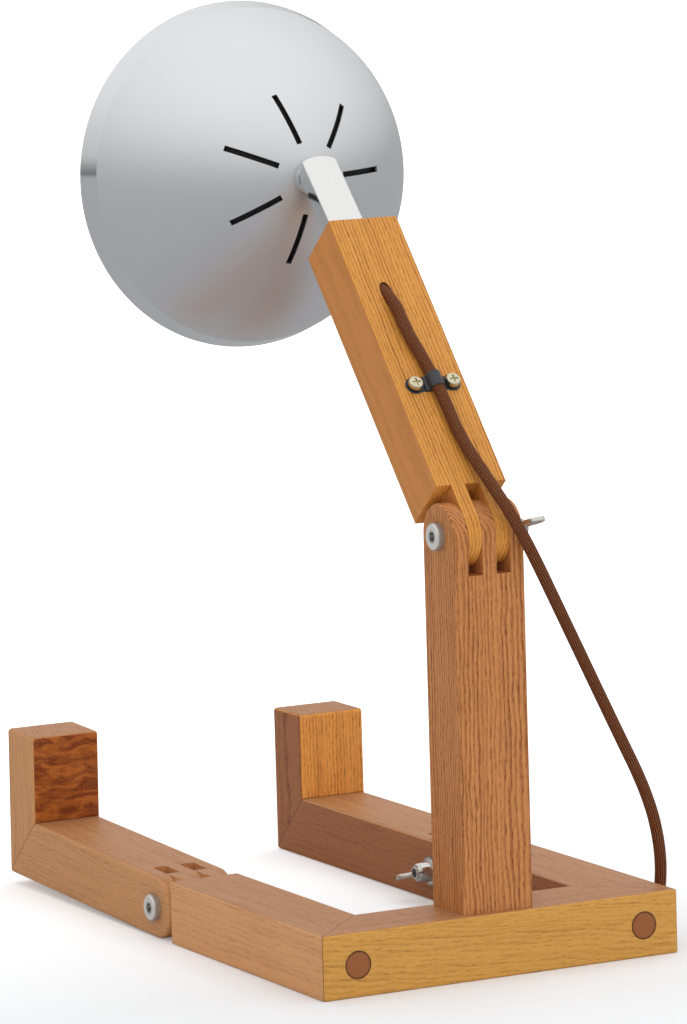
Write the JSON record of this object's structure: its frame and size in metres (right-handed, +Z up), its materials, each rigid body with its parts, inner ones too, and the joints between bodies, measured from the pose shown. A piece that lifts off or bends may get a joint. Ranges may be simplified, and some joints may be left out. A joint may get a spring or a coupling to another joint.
{
  "type": "desk lamp",
  "caption": "Adjustable desk lamp of jointed wooden beams, shaped like a seated figure, with a chrome neck and shade, an inline switch and a plug.",
  "frame": {"origin": "middle of the rear crossbar's underside, on the surface that the lamp stands on", "axes": "+Z up, the lamp faces -Y, +X is the lamp's own left"},
  "size_m": [0.2663, 0.4283, 0.4662],
  "materials": {
    "beam_wood": "satin-varnished hardwood with open straight grain",
    "dowel_wood": "dark dowel end grain, varnished",
    "zinc_steel": "zinc-plated steel",
    "nickel_steel": "pale nickel plate",
    "cast_zinc": "die-cast, nickel-plated and softly polished",
    "bearing_brass": "turned bearing brass",
    "neck_chrome": "bright chrome plate",
    "shade_chrome": "mirror-polished chrome on spun metal",
    "holder_ceramic": "off-white glazed ceramic",
    "bulb_reflector": "silvered reflector glass",
    "bulb_glass": "clear front glass",
    "cream_paint": "cream-painted screw heads",
    "saddle_plastic": "black moulded plastic",
    "cord_fabric": "brown woven cord cover with a light fleck",
    "tie_rubber": "black rubber band",
    "dark_plastic": "dark brown moulded plastic",
    "rocker_plastic": "dark brown glossy plastic",
    "plug_brass": "plated brass pins"
  },
  "bodies": {
    "base": {"hip_crossbar": "beam_wood", "crossbar_dowels": "dowel_wood", "torso": "beam_wood", "torso_screws": "zinc_steel", "waist_bolt": "nickel_steel", "waist_washer": "nickel_steel", "thigh_left": "beam_wood", "thigh_right": "beam_wood", "cord_hanging": "cord_fabric", "cord_link": "cord_fabric", "cord_tail": "cord_fabric", "switch_housing": "dark_plastic", "cord_hank": "cord_fabric", "hank_tie": "tie_rubber", "plug_body": "dark_plastic", "plug_pins": "plug_brass"},
    "left_leg": {"shin_left": "beam_wood", "foot_left": "beam_wood", "foot_dowel_left": "dowel_wood", "knee_bolt_left": "nickel_steel", "knee_washer_left": "nickel_steel"},
    "right_leg": {"shin_right": "beam_wood", "foot_right": "beam_wood", "foot_dowel_right": "dowel_wood", "knee_bolt_right": "nickel_steel", "knee_washer_right": "nickel_steel"},
    "upper": {"neck_block": "beam_wood", "cord_upper": "cord_fabric", "cord_saddle": "saddle_plastic", "saddle_screws": "cream_paint", "swivel_bush": "bearing_brass"},
    "neck": {"neck_swivel": "neck_chrome", "swivel_nut": "zinc_steel", "neck_bar": "neck_chrome", "tilt_pin": "neck_chrome"},
    "head": {"shade_hub": "neck_chrome", "hub_nut": "zinc_steel", "shade_shell": "shade_chrome", "lamp_holder": "holder_ceramic", "bulb_body": "bulb_reflector", "bulb_lens": "bulb_glass", "bulb_pins": "zinc_steel"},
    "waist_nut": {"waist_wing_nut": "cast_zinc"},
    "left_knee_nut": {"knee_wing_nut_left": "cast_zinc"},
    "right_knee_nut": {"knee_wing_nut_right": "cast_zinc"},
    "rocker": {"switch_rocker": "rocker_plastic"}
  },
  "joints": [
    {"name": "left_knee", "type": "hinge", "parent": "base", "child": "left_leg", "pos_m": [0.07955, -0.16485, 0.016], "axis": [1, 0, 0], "range_deg": [-88.17, 91.83]},
    {"name": "right_knee", "type": "hinge", "parent": "base", "child": "right_leg", "pos_m": [-0.07955, -0.16485, 0.016], "axis": [1, 0, 0], "range_deg": [-90, 90]},
    {"name": "waist", "type": "hinge", "parent": "base", "child": "upper", "pos_m": [0, 0, 0.2162], "axis": [1, 0, 0], "range_deg": [-60, 50], "deforming": ["cord_hanging"]},
    {"name": "neck_turn", "type": "hinge", "parent": "upper", "child": "neck", "pos_m": [0, -0.11781, 0.35269], "axis": [0, -0.6534, 0.757], "range_deg": [-166, 174]},
    {"name": "head_tilt", "type": "hinge", "parent": "neck", "child": "head", "pos_m": [-0.00042, -0.14921, 0.37984], "axis": [0.9976, -0.0528, -0.0456], "range_deg": [-22, 50]},
    {"name": "waist_nut_turn", "type": "hinge", "parent": "base", "child": "waist_nut", "pos_m": [0, 0, 0.2162], "axis": [1, 0, 0], "continuous": true},
    {"name": "left_knee_nut_turn", "type": "hinge", "parent": "left_leg", "child": "left_knee_nut", "pos_m": [0.07955, -0.16485, 0.016], "axis": [1, 0, 0], "continuous": true},
    {"name": "right_knee_nut_turn", "type": "hinge", "parent": "right_leg", "child": "right_knee_nut", "pos_m": [-0.07955, -0.16485, 0.016], "axis": [1, 0, 0], "continuous": true},
    {"name": "rocker_tip", "type": "hinge", "parent": "base", "child": "rocker", "pos_m": [-0.1125, -0.096, 0.0116], "axis": [1, 0, 0], "range_deg": [-12, 0]}
  ]
}
